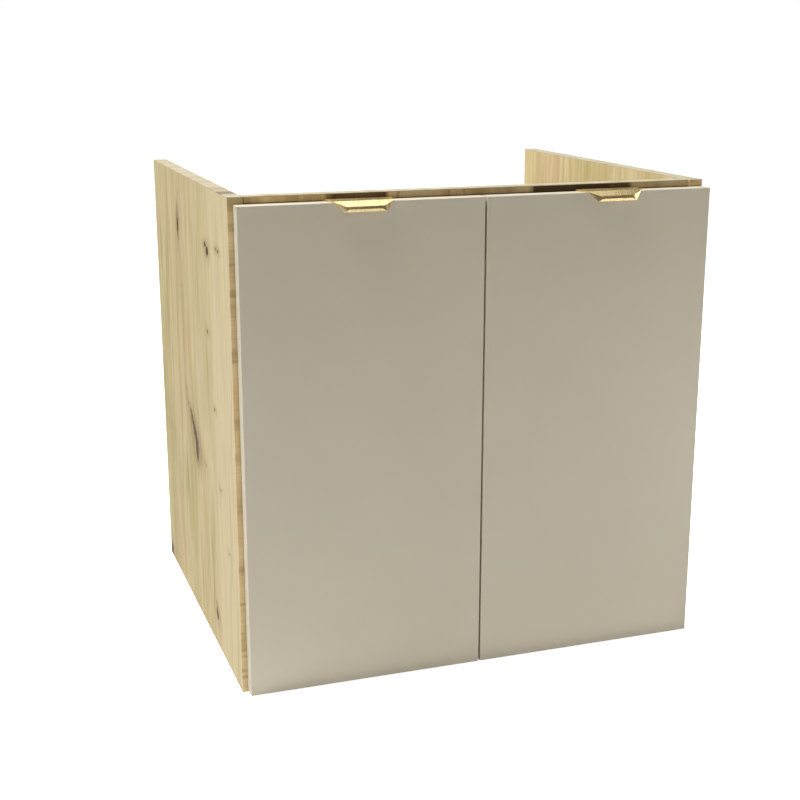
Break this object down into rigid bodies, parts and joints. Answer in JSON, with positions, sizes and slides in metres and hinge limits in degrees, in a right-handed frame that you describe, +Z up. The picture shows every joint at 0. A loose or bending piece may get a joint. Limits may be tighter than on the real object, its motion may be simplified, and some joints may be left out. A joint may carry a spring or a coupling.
{
  "type": "sink base cabinet",
  "caption": "Kitchen base cabinet for a sink: open top and back, oak-look carcass, two slab doors on concealed hinges, gold edge pulls.",
  "frame": {"origin": "middle of the side panels' footprint, on the floor", "axes": "+X to the right for someone facing the doors, +Y to the back, +Z up"},
  "size_m": [0.6, 0.5295, 0.6],
  "materials": {
    "knotty_oak_laminate": "knotty oak laminate, satin",
    "oak_front_band": "brown oak edge band",
    "oak_top_band": "pale oak edge band",
    "cashmere_matt": "matt cashmere film on board",
    "cashmere_band": "matt edge band",
    "brushed_gold": "brushed gold",
    "hinge_nickel": "nickel plated",
    "plated_steel": "zinc plated",
    "screw_steel": "zinc plated",
    "cam_zinc": "die-cast zinc",
    "beech": "plain beech",
    "clear_soft_pad": "translucent soft pad"
  },
  "bodies": {
    "carcass": {"floor_panel": "knotty_oak_laminate", "front_rail": "knotty_oak_laminate", "rear_rail_upper": "knotty_oak_laminate", "rear_rail_lower": "knotty_oak_laminate", "floor_front_band": "oak_front_band", "front_rail_top_band": "oak_top_band", "connecting_bolts": "plated_steel", "cam_locks": "cam_zinc", "wood_dowels": "beech", "side_panel_left": "knotty_oak_laminate", "side_front_band_left": "oak_front_band", "side_top_band_left": "oak_top_band", "hinge_left_upper_arm": "hinge_nickel", "hinge_left_upper_arm_pins": "hinge_nickel", "hinge_left_upper_plate": "hinge_nickel", "hinge_left_lower_arm": "hinge_nickel", "hinge_left_lower_arm_pins": "hinge_nickel", "hinge_left_lower_plate": "hinge_nickel", "hinge_left_plate_screws": "screw_steel", "hinge_left_adjusting_screws": "screw_steel", "side_panel_right": "knotty_oak_laminate", "side_front_band_right": "oak_front_band", "side_top_band_right": "oak_top_band", "hinge_right_upper_arm": "hinge_nickel", "hinge_right_upper_arm_pins": "hinge_nickel", "hinge_right_upper_plate": "hinge_nickel", "hinge_right_lower_arm": "hinge_nickel", "hinge_right_lower_arm_pins": "hinge_nickel", "hinge_right_lower_plate": "hinge_nickel", "hinge_right_plate_screws": "screw_steel", "hinge_right_adjusting_screws": "screw_steel"},
    "door_left": {"door_panel_left": "cashmere_matt", "door_edge_bands_left": "cashmere_band", "door_bumpers_left": "clear_soft_pad", "edge_pull_left": "brushed_gold", "pull_screws_left": "screw_steel", "hinge_left_upper_cup": "hinge_nickel", "hinge_left_upper_cup_pins": "hinge_nickel", "hinge_left_lower_cup": "hinge_nickel", "hinge_left_lower_cup_pins": "hinge_nickel", "hinge_left_cup_screws": "screw_steel"},
    "outer_links_left": {"hinge_left_upper_outer_link": "hinge_nickel", "hinge_left_lower_outer_link": "hinge_nickel"},
    "inner_links_left": {"hinge_left_upper_inner_link": "hinge_nickel", "hinge_left_lower_inner_link": "hinge_nickel"},
    "door_right": {"door_panel_right": "cashmere_matt", "door_edge_bands_right": "cashmere_band", "door_bumpers_right": "clear_soft_pad", "edge_pull_right": "brushed_gold", "pull_screws_right": "screw_steel", "hinge_right_upper_cup": "hinge_nickel", "hinge_right_upper_cup_pins": "hinge_nickel", "hinge_right_lower_cup": "hinge_nickel", "hinge_right_lower_cup_pins": "hinge_nickel", "hinge_right_cup_screws": "screw_steel"},
    "outer_links_right": {"hinge_right_upper_outer_link": "hinge_nickel", "hinge_right_lower_outer_link": "hinge_nickel"},
    "inner_links_right": {"hinge_right_upper_inner_link": "hinge_nickel", "hinge_right_lower_inner_link": "hinge_nickel"}
  },
  "joints": [
    {"name": "door_left_swing", "type": "hinge", "parent": "outer_links_left", "child": "door_left", "pos_m": [-0.2841, -0.2542, 0], "axis": [0, 0, -1], "range_deg": [0, 127.3]},
    {"name": "outer_links_left_turn", "type": "hinge", "parent": "carcass", "child": "outer_links_left", "pos_m": [-0.2591, -0.2409, 0], "axis": [0, 0, 1], "range_deg": [0, 32.6]},
    {"name": "inner_links_left_turn", "type": "hinge", "parent": "door_left", "child": "inner_links_left", "pos_m": [-0.2844, -0.2593, 0], "axis": [0, 0, 1], "range_deg": [0, 115.6]},
    {"name": "door_right_swing", "type": "hinge", "parent": "outer_links_right", "child": "door_right", "pos_m": [0.287, -0.2542, 0], "axis": [0, 0, 1], "range_deg": [0, 127.3]},
    {"name": "outer_links_right_turn", "type": "hinge", "parent": "carcass", "child": "outer_links_right", "pos_m": [0.262, -0.2409, 0], "axis": [0, 0, -1], "range_deg": [0, 32.6]},
    {"name": "inner_links_right_turn", "type": "hinge", "parent": "door_right", "child": "inner_links_right", "pos_m": [0.2873, -0.2593, 0], "axis": [0, 0, -1], "range_deg": [0, 115.6]}
  ],
  "couplings": [
    {"joint": "outer_links_left_turn", "follows": "door_left_swing", "ratio": 0.25373},
    {"joint": "inner_links_left_turn", "follows": "door_left_swing", "ratio": 0.90545},
    {"joint": "outer_links_right_turn", "follows": "door_right_swing", "ratio": 0.25373},
    {"joint": "inner_links_right_turn", "follows": "door_right_swing", "ratio": 0.90545}
  ]
}
